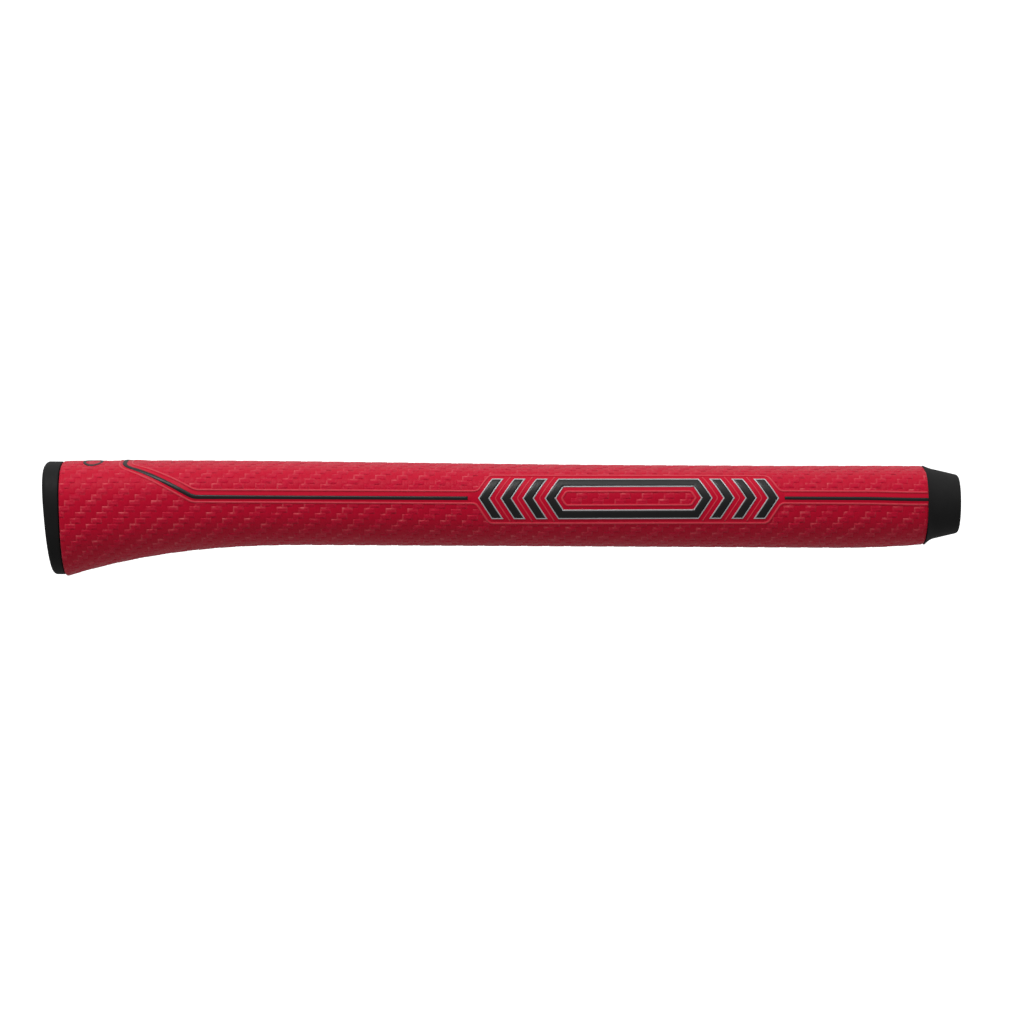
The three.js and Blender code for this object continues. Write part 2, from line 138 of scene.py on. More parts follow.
TOW_LENGTH = 1.575 * MM  # pitch of the twill along the grip
TOW_WIDTH = 1.72 * MM  # and around it
TWILL_REPEAT = 4
FLOAT_CELLS = 2  # each tow passes over this many others
TOW_LINES = (0.04, 0.14, 0.38, 0.62, 0.86, 0.96)  # mesh lines across one tow
GROOVE_EDGE = 0.04
GROOVE_SHOULDER = 0.14
ALONG_TOP = 0.06 * MM  # tows along the grip stand this much above those around it
GROOVE_DEPTH = 0.06 * MM
TOW_CROWN = 0.02 * MM
SOFT_GROOVE = 0.35
# The painted highlight and the painted shade on a tow's edges fade out this far across the tow, as a share
# of its width.
PAINTED_LIGHT_EDGE = 0.23
PAINTED_HIGHLIGHT_END = 0.55  # how strong the painted highlight on a tow's end is against the one on its side towards the front
PAINTED_HIGHLIGHT_HIDDEN = 0.4  # and its second cell against its first

LINE_SETTLED = 8 * MM  # past this reach the pattern shifts with the side line as one
LINE_STAND = 0.32 * MM
LINE_FRONT_CORNER = 2.6 * MM
LINE_TIP_HALF_WIDTH = 0.52 * MM
LINE_BUTT_WIDENING = 0.16  # the line is this much wider up to LINE_WIDE_END
LINE_WIDE_END = 35 * MM
LINE_NARROW_START = 60 * MM
BAND_SHIFT = 0.32 * MM  # the smooth band's middle lies this much to the front of the line
BAND_HALF_WIDTH = 1.77 * MM
BEAD_HALF_WIDTH = 0.42 * MM
BEAD_HEIGHT = 0.26 * MM
BANK_HALF_WIDTH = 1.5 * MM  # the line lies on a low bank
BANK_HEIGHT = 0.14 * MM
FIELD_MARGIN = 1.27 * MM  # smooth field round the emblem
MASK_RAMP = 0.15 * MM

SKIN_END = LIP_X - 0.15 * MM
TIP_BOW = 0.35 * MM  # the skin's end lies this much further from the tip at the front and back
LIP_LEAN = math.tan(math.radians(1.5))  # the lip does too, and leans away from the tip at the front
LIP_FADE = 6 * MM
TIP_ROLL_LENGTH = 1.2 * MM
TIP_ROLL_DROP = 0.3 * MM
BUTT_ROLL_LENGTH = 1.0 * MM
BUTT_ROLL_DROP = 0.32 * MM
SEAM_ROLL_LENGTH = 0.5 * MM
SEAM_ROLL_DROP = 0.14 * MM
SEAM_DEPTH = 1.3 * MM
SEAM_TOP = -0.06 * MM  # the seam strip's middle, just under the skin's outside
SEAM_CROWN = 0.1 * MM
TIP_LINES = np.array([0.03, 0.12, 0.3]) * MM  # more mesh lines this far from the skin's end
SKIN_PIECES = 5

FLAT = 0.15  # powers of a bead's section, from flat-topped to sloping like a ridge
CRISP = 0.3
ROUND = 0.6
RIDGE = 1.0
BEAD_SINK = 0.25 * MM
BEAD_EDGE = 0.06 * MM  # the edges of a bead's top lie this much under the surface
BEAD_END_GAP = 0.3 * MM
LINE_END_GAP = 0.1 * MM
RING_STAND = 0.17 * MM
FIELD_CORNER = 1.2 * MM
CREASE_CORNER = 0.6 * MM
CREASE_HALF_WIDTH = 0.24 * MM
CREASE_HEIGHT = 0.12 * MM
CREASE_END_GAP = 0.2 * MM
ROUTE_STEP = 0.5 * MM

RIM_WIDTH = 0.36 * MM  # the silver rim round each black mark
RIM_STAND = 0.2 * MM
RIM_ROUND = 0.1 * MM
PRINT_STAND = 0.26 * MM
PRINT_RISE = 0.4 * MM  # the face rises from the rim to PRINT_STAND over this width
PRINT_GROOVE = 0.06 * MM  # depth of the groove between the rim and the face
GROOVE_WIDTH = 0.05 * MM
PRINT_EDGE = 0.05 * MM  # the outermost edge lies this much under the surface
PRINT_SINK = 0.15 * MM
RIM_LINES = np.array([0, 0.03, 0.1, 0.26, 0.33, 0.36, 0.4, 0.5, 0.8]) * MM
CHEVRON_STEP = 0.5 * MM
STROKE_STEP = 0.4 * MM
LONG_RING_STEP = 0.6 * MM

VENT_CHAMFER = 0.25 * MM
MOUTH_ROUND = 0.3 * MM
CAP_BACK_ROUND = 0.35 * MM  # of the flange's edge beside the skin
CAP_BACK_DROP = 0.5 * MM  # a ring on the flange's back, this far inside its side
CAP_FACE_RING = 0.3 * MM  # face rings, this far inside its round and outside its vent
VENT_FACE_RING = 4 * MM
LIP_BACK_DROP = 0.6 * MM  # the collar's back is this much inside its cone
LIP_BACK = ((0.2 * MM, 0.32 * MM), (0.1 * MM, 0.07 * MM))  # how far before and inside the lip's edge
LIP_CROWDING = 1.3  # rings are closer together near the lip
BREAK = 0.1 * MM  # size of the small broken corners inside

TINY = 1e-12  # areas below this count as none
ARC_SAMPLES = 721
TABLE_STEP = 1 * MM
TABLE_SPARE = 3 * MM
REACH_STEP = 0.25 * MM
LAST_CELL = 1.001  # keeps lookups inside a table's last cell
FRONT = math.pi / 2
AROUND = 240
TURNS = np.linspace(0, 2 * math.pi, AROUND, endpoint=False) - FRONT

# --- Camera, stage and light ---

CAMERA_DISTANCE = 1.0
CAMERA_ELEVATION = math.radians(10)
CAMERA_ROLL = math.radians(0.3)
SENSOR_MM = 36  # in millimetres, like the lens
VIEW_WIDTH = 0.2954  # what the image spans at the camera's distance
TARGET = Vector((0.129, 0, -1.02 * MM))
FLOOR_DROP = 1.25  # low enough for the grip to be seen from below
STAGE_RADIUS = 6.0
SKY = (0.38, 0.2, 0.85)  # strength straight down, at the horizon and straight up
KEY_PLACE = (-0.15, -0.42, 0.80)
KEY_SIZE = (0.5, 0.35)
KEY_POWER = 3.8


# --- The wrapped body's surface ---

def smoothstep(low, high, value):
    t = np.clip((value - low) / (high - low), 0, 1)
    return t * t * (3 - 2 * t)


def stacked(*parts):
    """Points from their coordinates, which are broadcast to one shape."""
    return np.stack(np.broadcast_arrays(*parts), axis=-1)


def flare(x):
    return np.maximum(0, 1 - x / FLARE_LENGTH) ** FLARE_POWER


def taper(x):
    return np.maximum(0, (x - TAPER_START) / TAPER_LENGTH) ** TAPER_POWER


def front_height(x):
    fall = FRONT_FALL * smoothstep(FRONT_FALL_START, FRONT_FALL_END, x)
    rise = FRONT_RISE * smoothstep(FRONT_RISE_START, FRONT_RISE_END, x)
    return FRONT_HEIGHT - FRONT_DIP * flare(x) - fall + rise


def back_depth(x):
    return BACK_DEPTH + FLARE_DEPTH * flare(x) - TAPER_DEPTH * taper(x)


def half_width(x):
    return HALF_WIDTH + FLARE_WIDTH * flare(x) - TAPER_WIDTH * taper(x)


def outline(x, angle):
    """y and z of the section at x. The angle runs from +Y towards +Z about the section's own centre."""
    centre = (front_height(x) - back_depth(x)) / 2
    half_depth = (front_height(x) + back_depth(x)) / 2
    power = np.where(np.sin(angle) > 0, FRONT_SQUARENESS, BACK_SQUARENESS)
    across = np.abs(np.cos(angle) / half_width(x)) ** power
    along = np.abs(np.sin(angle) / half_depth) ** power
    radius = (across + along) ** (-1 / power)
    return radius * np.cos(angle), centre + radius * np.sin(angle)


def lifted(x, angle, lift):
    """Points of the section moved out of the surface by lift."""
    nudge = math.radians(0.25)
    y, z = outline(x, angle)
    y_before, z_before = outline(x, angle - nudge)
    y_after, z_after = outline(x, angle + nudge)
    length = np.hypot(y_after - y_before, z_after - z_before)
    out_y = (z_after - z_before) / length
    out_z = (y_before - y_after) / length
    return stacked(x, y + out_y * lift, z + out_z * lift)


def side_line_height(x):
    rise = LINE_RISE * smoothstep(LINE_BUTT_END, LINE_TIP_START, x)
    return LINE_HEIGHT + rise - LINE_DROP * smoothstep(LINE_DROP_START, LINE_TIP_END, x)


def arc_tables():
    """Each section's angle by arc length from the front centreline, its half girth and its line's reach."""
    stations = np.arange(-TABLE_SPARE, SKIN_END + TABLE_SPARE, TABLE_STEP)
    angles = np.linspace(FRONT, -FRONT, ARC_SAMPLES)
    y, z = outline(stations[:, None], angles[None, :])
    steps = np.hypot(np.diff(y, axis=1), np.diff(z, axis=1))
    arcs = np.concatenate([np.zeros((len(stations), 1)), np.cumsum(steps, axis=1)], axis=1)
    reaches = np.arange(0, arcs.max() + REACH_STEP, REACH_STEP)
    table = np.array([np.interp(reaches, arc, angles) for arc in arcs])
    line_heights = side_line_height(stations)
    line = [np.interp(-level, -heights, arc) for level, heights, arc in zip(line_heights, z, arcs)]
    return stations, reaches, table, arcs[:, -1], np.array(line)


STATIONS, REACHES, ANGLES, HALF_GIRTHS, LINE_REACHES = arc_tables()


def half_girth(x):
    return np.interp(x, STATIONS, HALF_GIRTHS)


def line_reach(x):
    return np.interp(x, STATIONS, LINE_REACHES)


def angle_at(x, reach):
    """The section angle at an arc length from the front centreline."""
    row = np.clip((x - STATIONS[0]) / TABLE_STEP, 0, len(STATIONS) - LAST_CELL)
    column = np.clip(np.abs(reach) / REACH_STEP, 0, len(REACHES) - LAST_CELL)
    i = row.astype(int)
    j = column.astype(int)
    a = row - i
    b = column - j
    low = ANGLES[i, j] * (1 - b) + ANGLES[i, j + 1] * b
    high = ANGLES[i + 1, j] * (1 - b) + ANGLES[i + 1, j + 1] * b
    return low * (1 - a) + high * a


def cap_joint(z):
    return CAP_JOINT_X - CAP_JOINT_LEAN * z


def cap_face(z):
    return CAP_FACE_X - CAP_FACE_LEAN * z


def tip_bow(z):
    return TIP_BOW * (z / HALF_WIDTH) ** 2


def leaned(station, z):
    """The place of a station along the grip. Near the ends it follows the shape of the joint."""
    butt = np.maximum(0, 1 - station / LEAN_FADE) * (cap_joint(z) + END_GAP)
    tip = np.maximum(0, 1 - (SKIN_END - station) / LEAN_FADE) * tip_bow(z)
    return station + butt - tip


def rolled(distance, length, drop):
    """How far an edge is rolled in at a distance from it."""
    t = np.clip(1 - distance / length, 0, 1)
    return drop * (1 - np.sqrt(1 - t * t))


def on_wrap(x, reach, lift):
    """Points of the wrap. reach is the arc length from the front centreline, negative on the -Y side."""
    x, reach, lift = np.broadcast_arrays(x, reach, lift)
    angle = angle_at(x, reach)
    z = outline(x, angle)[1]
    butt_roll = rolled(x - cap_joint(z) - END_GAP, BUTT_ROLL_LENGTH, BUTT_ROLL_DROP)
    tip_roll = rolled(SKIN_END - tip_bow(z) - x, TIP_ROLL_LENGTH, TIP_ROLL_DROP)
    points = lifted(x, angle, lift - butt_roll - tip_roll)
    points[..., 1] *= np.where(reach < 0, -1, 1)
    return points


def reach_of(x, across):
    """Arc length of a place in the pattern, where the side line lies at LINE_REACH everywhere."""
    shift = line_reach(x) - LINE_REACH
    return across + np.sign(across) * shift * np.minimum(1, np.abs(across) / LINE_SETTLED)


def across_of(x, reach):
    """The inverse of reach_of."""
    shift = line_reach(x) - LINE_REACH
    near = reach / (1 + shift / LINE_SETTLED)
    far = reach - np.sign(reach) * shift
    return np.where(np.abs(near) < LINE_SETTLED, near, far)


def on_pattern(x, across, lift):
    return on_wrap(x, reach_of(x, across), lift)


# --- Meshes ---

def make_object(name, points, faces, material, normals=None):
    """A smooth-shaded object. faces is an array of quads, or a list of polygons."""
    mesh = bpy.data.meshes.new(name)
    points = np.asarray(points, np.float32).reshape(-1, 3)
    sizes = np.array([len(f) for f in faces], np.int32)
    starts = (np.cumsum(sizes) - sizes).astype(np.int32)
    mesh.vertices.add(len(points))
    mesh.vertices.foreach_set("co", points.ravel())
    mesh.loops.add(int(sizes.sum()))
    mesh.loops.foreach_set("vertex_index", np.concatenate([np.asarray(f, np.int32) for f in faces]))
    mesh.polygons.add(len(faces))
    mesh.polygons.foreach_set("loop_start", starts)
    mesh.update(calc_edges=True)
    mesh.shade_smooth()
    if normals is not None:
        mesh.normals_split_custom_set_from_vertices(normals)
    mesh.materials.append(material)
    thing = bpy.data.objects.new(name, mesh)
    bpy.context.scene.collection.objects.link(thing)
    return thing


def set_attribute(mesh, name, values):
    attribute = mesh.attributes.new(name, "FLOAT", "POINT")
    attribute.data.foreach_set("value", np.asarray(values, np.float32).ravel())


def outward(points, quads):
    """The quads, turned over if they face inwards."""
    a, b, c, d = points[quads].transpose(1, 0, 2)
    volume = np.sum(a * (np.cross(b, c) + np.cross(c, d)))
    return quads if volume > 0 else quads[:, ::-1]


def cell_quads(rows, columns, closed_rows=False, closed_columns=False):
    """Corner indices of the cells of a grid, as (rows, columns, 4)."""
    i = np.arange(rows if closed_rows else rows - 1)[:, None]
    j = np.arange(columns if closed_columns else columns - 1)[None, :]
    next_i = (i + 1) % rows
    next_j = (j + 1) % columns
    return stacked(i * columns + j, i * columns + next_j, next_i * columns + next_j, next_i * columns + j)


def ring_solid(name, rings, material):
    """Closed rings joined one to the next, and the last to the first, round a hole that runs through."""
    rings = np.array(rings)
    count, around = rings.shape[:2]
    quads = cell_quads(count, around, closed_rows=True, closed_columns=True).reshape(-1, 4)
    points = rings.reshape(-1, 3)
    return make_object(name, points, outward(points, quads), material)


def patch_solid(name, top, bottom, material, keep=None, closed=False):
    """A closed solid between two matching grids of points, of the cells that keep marks.
    When closed, the last row joins the first."""
    rows, columns = top.shape[:2]
    cells = cell_quads(rows, columns, closed_rows=closed)
    upper = cells.reshape(-1, 4) if keep is None else cells[keep]
    count = rows * columns
    quads = [upper, upper[:, ::-1] + count]
    edges = np.concatenate([upper[:, [k, (k + 1) % 4]] for k in range(4)])
    _, place, uses = np.unique(np.sort(edges, axis=1), axis=0, return_index=True, return_counts=True)
    rim = edges[place[uses == 1]]
    quads.append(stacked(rim[:, 1], rim[:, 0], rim[:, 0] + count, rim[:, 1] + count))
    points = np.concatenate([top.reshape(-1, 3), bottom.reshape(-1, 3)])
    quads = outward(points, np.concatenate(quads))
    used, compact = np.unique(quads, return_inverse=True)
    return make_object(name, points[used], compact.reshape(quads.shape), material)


def finish_piece(piece, node):
    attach(piece, "root")
    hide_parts(node)


# --- Routes over the pattern ---

def rounded_route(corners, radii, step=ROUTE_STEP):
    """Points along straight legs whose inner corners are rounded by short curves, about step apart."""
    corners = [np.array(c, float) for c in corners]
    radii = np.broadcast_to(radii, len(corners) - 2)
    legs = []
    start = corners[0]
    for before, corner, after, radius in zip(corners, corners[1:], corners[2:], radii):
        length_in = np.linalg.norm(corner - before)
        length_out = np.linalg.norm(after - corner)
        reach = min(radius, length_in / 2, length_out / 2)
        enter = corner + (before - corner) * reach / length_in
        leave = corner + (after - corner) * reach / length_out
        legs.append((start, (start + enter) / 2, enter))
        legs.append((enter, corner, leave))
        start = leave
    legs.append((start, (start + corners[-1]) / 2, corners[-1]))
    points = [corners[0][None]]
    for a, b, c in legs:
        count = max(2, math.ceil(np.linalg.norm(c - a) / step))
        t = np.linspace(0, 1, count + 1)[1:, None]
        points.append((1 - t) ** 2 * a + 2 * t * (1 - t) * b + t ** 2 * c)
    return np.concatenate(points)


def asides(route, closed=False):
    """Mitred sideways directions of a route."""
    steps = np.diff(np.concatenate([route, route[:1]]) if closed else route, axis=0)
    steps /= np.linalg.norm(steps, axis=1, keepdims=True)
    if closed:
        before, after = np.roll(steps, 1, axis=0), steps
    else:
        before = np.concatenate([steps[:1], steps])
        after = np.concatenate([steps, steps[-1:]])
    middle = before + after
    middle /= np.linalg.norm(middle, axis=1, keepdims=True)
    stretch = np.einsum("ij,ij->i", middle, after)[:, None]
    return stacked(-middle[:, 1], middle[:, 0]) / stretch


def half_round(half_width, height, power, columns=9):
    """(aside, lift) pairs of a bead's rounded top, sunk a little at its edges."""
    aside = half_width * np.sin(np.linspace(-FRONT, FRONT, columns))
    bulge = np.maximum(0, 1 - (aside / half_width) ** 2) ** power
    return aside, height * bulge - BEAD_EDGE * (1 - bulge)


def bead(name, route, half_width, height, material, power=ROUND, widths=1.0, closed=False):
    """A bead along a route over the pattern. widths scales its width along the route."""
    aside, lift = half_round(half_width, height, power)
    side = asides(route, closed) * np.broadcast_to(widths, len(route))[:, None]
    grid = route[:, None, :] + side[:, None, :] * aside[None, :, None]
    x, across = np.moveaxis(grid, -1, 0)
    top = on_pattern(x, across, lift)
    bottom = on_pattern(x, across, -BEAD_SINK)
    piece = patch_solid(name, top, bottom, material, closed=closed)
    # A highlight is painted along the bead's crest.
    crest_highlight = np.broadcast_to((lift / height).clip(0, 1) ** 2, x.shape)
    set_attribute(piece.data, "painted_highlight", np.concatenate([crest_highlight, np.zeros(crest_highlight.shape)]))
    return piece


def mirrored(half):
    """The route of one side up to the centreline, then the same back down the other side."""
    return np.concatenate([half, half[-2::-1] * [1, -1]])


def line_corners(offset):
    """The kink, the front corner and the middle of the front, on the +Y side."""
    slant = math.atan2(LINE_REACH - LINE_FRONT_REACH, LINE_KINK_X - LINE_FRONT_X)
    kink = (LINE_KINK_X + offset * math.tan(slant / 2), LINE_REACH - offset)
    top = (LINE_FRONT_X + offset, LINE_FRONT_REACH - offset * math.tan((FRONT - slant) / 2))
    return [kink, top, (LINE_FRONT_X + offset, 0)]


def butt_route(offset, step=ROUTE_STEP):
    """The line's route from the emblem to the middle of the front, moved offset towards the front."""
    corners = [(LINE_BUTT_END, LINE_REACH - offset), *line_corners(offset)]
    return rounded_route(corners, (LINE_KINK_CORNER, LINE_FRONT_CORNER), step)


def hexagon(half_length, margin):
    """Half length, half height and shoulder of a hexagon as high as the emblem, grown by margin."""
    half_height = EMBLEM_HALF_HEIGHT + margin
    half_length = half_length + margin * EMBLEM_LEAN
    return half_length, half_height, half_length - EMBLEM_SLOPE * half_height


def hexagon_corners(size):
    """Its corners about its own middle, the first one again at the end."""
    half_length, half_height, shoulder = size
    upper = [(half_length, 0), (shoulder, half_height), (-shoulder, half_height), (-half_length, 0)]
    return upper + [(-x, -z) for x, z in upper[1:]]


FIELD_OUTSIDE = hexagon(EMBLEM_HALF_LENGTH, FIELD_MARGIN)
FIELD_INSIDE = hexagon(LONG_RING_HALF_LENGTH, -STROKE_WIDTH - FIELD_MARGIN)


# --- Distances on the pattern, for the smooth zones ---

def route_distance(x, across, route):
    """Distance from each place to a polyline."""
    best = np.full(x.shape, np.inf)
    for (x0, y0), (dx, dy) in zip(route, np.diff(route, axis=0)):
        t = np.clip(((x - x0) * dx + (across - y0) * dy) / (dx * dx + dy * dy), 0, 1)
        best = np.minimum(best, np.hypot(x - x0 - t * dx, across - y0 - t * dy))
    return best


def hexagon_distance(x, above, size):
    """Roughly the distance outside a pointed hexagon centred on the emblem, negative inside."""
    past_point = np.abs(x - EMBLEM_CENTRE) - size[0] + EMBLEM_SLOPE * np.abs(above)
    return np.maximum(past_point / EMBLEM_LEAN, np.abs(above) - size[1])


def smooth_zone(x, reach):
    """Signed distance to the edge of the smooth zone beside the lines and round the emblem."""
    across = np.abs(across_of(x, reach))
    from_band = route_distance(x, across, butt_route(BAND_SHIFT, 1 * MM))
    from_straight = np.where(x > LINE_KINK_X, np.abs(across - LINE_REACH + BAND_SHIFT), np.inf)
    zone = np.minimum(from_band, from_straight) - BAND_HALF_WIDTH
    zone = np.minimum(zone, hexagon_distance(x, across - LINE_REACH, FIELD_OUTSIDE))
    return np.maximum(zone, -hexagon_distance(x, across - LINE_REACH, FIELD_INSIDE))


def line_bank(x, reach):
    """Height of the low bank that the black line lies on."""
    across = np.abs(across_of(x, reach))
    from_line = route_distance(x, across, butt_route(0, 1 * MM))
    from_line = np.where(x > LINE_TIP_START, np.abs(across - LINE_REACH), from_line)
    return BANK_HEIGHT * (1 - smoothstep(LINE_HALF_WIDTH, BANK_HALF_WIDTH, from_line))


# --- The twill's relief ---

def twill(x, reach):
    """Height of the embossed twill, 1 where the tow on top runs along the grip, 1 where a highlight is
    painted on such a tow's edges that face the front, and 1 where shade is painted on its edge that faces
    the back."""
    column = np.floor(x / TOW_LENGTH)
    row = np.floor(reach / TOW_WIDTH)
    u = x / TOW_LENGTH - column
    w = reach / TOW_WIDTH - row
    phase = np.mod(column - row, TWILL_REPEAT)
    along = phase < FLOAT_CELLS
    first = np.mod(phase, FLOAT_CELLS) == 0

    def rise(t):
        return smoothstep(GROOVE_EDGE, GROOVE_SHOULDER, t)

    def soft(t, is_soft):
        return np.where(is_soft, 1 - SOFT_GROOVE * (1 - rise(t)), rise(t))

    # A tow along the grip meets another such tow above its second cell and below its first.
    along_sides = np.minimum(soft(1 - w, ~first), soft(w, first))
    along_ends = np.where(first, rise(u), rise(1 - u))
    around_sides = np.minimum(soft(1 - u, first), soft(u, ~first))
    around_ends = np.where(first, rise(1 - w), rise(w))
    along_height = ALONG_TOP + TOW_CROWN * (1 - (2 * w - 1) ** 2)
    around_height = TOW_CROWN * (1 - (2 * u - 1) ** 2)
    top = np.where(along, along_height, around_height)
    share = np.where(along, np.minimum(along_sides, along_ends), np.minimum(around_sides, around_ends))
    from_front = np.where(reach < 0, 1 - w, w)
    is_free = np.where(reach < 0, first, ~first)
    # A highlight is painted on the edges that face the front, as if lit from above.
    front_highlight = 1 - smoothstep(GROOVE_SHOULDER, PAINTED_LIGHT_EDGE, from_front)
    end_highlight = 1 - smoothstep(GROOVE_SHOULDER, PAINTED_LIGHT_EDGE, np.where(first, u, 1 - u))
    painted_highlight = along * np.where(is_free, 1, PAINTED_HIGHLIGHT_HIDDEN) * np.maximum(front_highlight, PAINTED_HIGHLIGHT_END * end_highlight)
    # Shade is painted on the edge of a tow along the grip that faces the back, under the tow beside it.
    painted_shade = along * ~is_free * (1 - smoothstep(GROOVE_EDGE, PAINTED_LIGHT_EDGE, 1 - from_front))
    return -GROOVE_DEPTH + (top + GROOVE_DEPTH) * share, along, painted_highlight, painted_shade


def pattern_lines(low, high, pitch, extra=()):
    """Mesh line positions between low and high, closest at the edges of the tows."""
    cells = np.arange(math.floor(low / pitch), math.ceil(high / pitch))
    lines = (cells[:, None] + np.array(TOW_LINES)[None, :]).ravel() * pitch
    lines = lines[(lines > low) & (lines < high)]
    return np.unique(np.concatenate([[low, high], extra, lines]))


def skin_grid():
    """The skin's outside as a grid of points, and the values that its material reads there."""
    station = pattern_lines(0, SKIN_END, TOW_LENGTH, SKIN_END - TIP_LINES)
    widest = HALF_GIRTHS.max()
    reach = pattern_lines(-widest, widest, TOW_WIDTH)
    station, reach = np.meshgrid(station, reach, indexing="ij")
    x = leaned(station, outline(station, angle_at(station, reach))[1])
    edge = half_girth(x) - SEAM_WIDTH / 2 - SEAM_GAP
    reach = np.clip(reach, -edge, edge)

    woven = smoothstep(0, MASK_RAMP, smooth_zone(x, reach))
    height, along, painted_highlight, painted_shade = twill(station, reach)
    seam_roll = rolled(edge - np.abs(reach), SEAM_ROLL_LENGTH, SEAM_ROLL_DROP)
    points = on_wrap(x, reach, height * woven + line_bank(x, reach) - seam_roll)
    inside = on_wrap(x, reach, -SKIN_THICKNESS)
    points, inside = (np.pad(grid, ((1, 1), (1, 1), (0, 0)), mode="edge") for grid in (points, inside))
    for border in (np.s_[0], np.s_[-1], np.s_[:, 0], np.s_[:, -1]):
        points[border] = inside[border]
    fields = dict(station=station, reach=reach, woven=woven, along=along, painted_highlight=painted_highlight, painted_shade=painted_shade)
    return points, {name: np.pad(values, 1, mode="edge") for name, values in fields.items()}


def grid_normals(points):
    """Smooth outward normals of the skin's grid, the same on both sides of any cut."""
    cells = np.cross(points[1:, 1:] - points[:-1, :-1], points[:-1, 1:] - points[1:, :-1])
    total = np.zeros_like(points)
    for rows in (np.s_[:-1], np.s_[1:]):
        for columns in (np.s_[:-1], np.s_[1:]):
            total[rows, columns] += cells
    return total / np.maximum(np.linalg.norm(total, axis=2, keepdims=True), TINY)


def build_skin(material):
    """The skin, with its edges turned in, in lengths that share their normals so that no cut shows."""
    points, fields = skin_grid()
    normals = grid_normals(points)
    rows, columns = points.shape[:2]
    cuts = np.linspace(0, rows - 1, SKIN_PIECES + 1).astype(int)
    for number, (first, last) in enumerate(zip(cuts[:-1], cuts[1:]), 1):
        part = slice(first, last + 1)
        top = points[part].reshape(-1, 3)
        cells = cell_quads(last + 1 - first, columns).reshape(-1, 4)[:, ::-1]
        facing = np.cross(top[cells[:, 2]] - top[cells[:, 0]], top[cells[:, 3]] - top[cells[:, 1]])
        cells = cells[np.linalg.norm(facing, axis=1) > TINY]
        used, compact = np.unique(cells, return_inverse=True)
        shade = normals[part].reshape(-1, 3)[used]
        piece = make_object(f"skin_{number}", top[used], compact.reshape(-1, 4), material, shade)
        sheet = piece.data.uv_layers.new(name="sheet")
        loops = np.zeros(len(piece.data.loops), np.int32)
        piece.data.loops.foreach_get("vertex_index", loops)
        values = {name: field[part].ravel()[used] for name, field in fields.items()}
        flat = stacked(values.pop("station"), values.pop("reach"))
        sheet.data.foreach_set("uv", flat[loops].astype(np.float32).ravel())
        for name, value in values.items():
            set_attribute(piece.data, name, value)
        finish_piece(piece, "outer_wrap")


# --- Materials ---

class Nodes:
    """The node tree of a material or a world, with short calls for what they share."""

    def __init__(self, owner, shader):
        owner.use_nodes = True
        self.owner = owner
        self.tree = owner.node_tree
        self.shader = self.tree.nodes[shader]

    def feed(self, node, inputs):
        """Link each input to another node's output, or set it to a value."""
        for name, value in inputs.items():
            if hasattr(value, "links"):
                self.tree.links.new(value, node.inputs[name])
            else:
                node.inputs[name].default_value = value

    def set(self, name, value):
        self.feed(self.shader, {name: value})

    def add(self, kind, inputs=None, **settings):
        node = self.tree.nodes.new("ShaderNode" + kind)
        for name, value in settings.items():
            setattr(node, name, value)
        self.feed(node, inputs or {})
        return node

    def attribute(self, name):
        return self.add("Attribute", attribute_name=name).outputs["Fac"]

    def math(self, operation, a, b=0.0):
        return self.add("Math", {0: a, 1: b}, operation=operation).outputs[0]

    def times(self, a, b):
        return self.math("MULTIPLY", a, b)

    def range(self, value, low, high):
        inputs = {"Value": value, "To Min": low, "To Max": high}
        return self.add("MapRange", inputs).outputs["Result"]

    def place(self):
        return self.add("TexCoord").outputs["Object"]

    def noise(self, scale, detail, vector=None):
        """Noise from 0 to 1, of about scale cells to the metre."""
        inputs = {"Vector": vector or self.place(), "Scale": scale, "Detail": detail}
        return self.add("TexNoise", inputs).outputs["Fac"]

    def streaks(self, vector, scale):
        stretched = self.add("Mapping", {"Vector": vector, "Scale": scale})
        return self.noise(1, 3, stretched.outputs["Vector"])

    def colour(self, factor, first, second):
        """A colour between two, by a factor from 0 to 1."""
        first, second = (c if hasattr(c, "links") else (*c, 1) for c in (first, second))
        inputs = {"Factor": factor, 6: first, 7: second}
        return self.add("Mix", inputs, data_type="RGBA").outputs[2]

    def bump(self, height, distance, strength, **before):
        inputs = {"Height": height, "Distance": distance, "Strength": strength, **before}
        return self.add("Bump", inputs).outputs["Normal"]


def surface(name, roughness, specular=0.5, sheen=0.0, tint=(1, 1, 1)):
    """A new material's nodes, with its uniform values on the shader's own sockets."""
    n = Nodes(bpy.data.materials.new(name), "Principled BSDF")
    n.set("Roughness", roughness)
    n.set("Specular IOR Level", specular)
    n.set("Specular Tint", (*tint, 1))
    n.set("Sheen Weight", sheen)
    return n


RED_ALONG = (0.61, 0.001, 0.031)
RED_AROUND = (0.585, 0.001, 0.026)
RED_PLAIN = (0.62, 0.001, 0.027)
RED_LIGHT = (0.65, 0.004, 0.036)
RED_DUSTY = (0.72, 0.005, 0.042)
# Colour of the painted highlight on the tows' front edges and on the ridges' crests.
RED_PAINTED_HIGHLIGHT = (0.78, 0.10, 0.125)
# Colour of the painted shade on the tows' back edges.
RED_PAINTED_SHADE = (0.30, 0.0, 0.012)
RED_SPECULAR = 0.16
RED_SHEEN = 0.1
RED_TINT = (1, 0.65, 0.72)  # of the reflection at a right angle; at a grazing one it is white
CAP_DARK = (0.0088, 0.0088, 0.0088)
CAP_LIGHT = (0.014, 0.014, 0.014)
COLLAR_DARK = (0.0125, 0.0123, 0.0125)
COLLAR_LIGHT = (0.0185, 0.0183, 0.0185)
THREADS = 4  # threads in each tow
STREAKS_LONG = 500  # streaks to the metre along a tow
STREAKS_FINE = 3400  # and across it


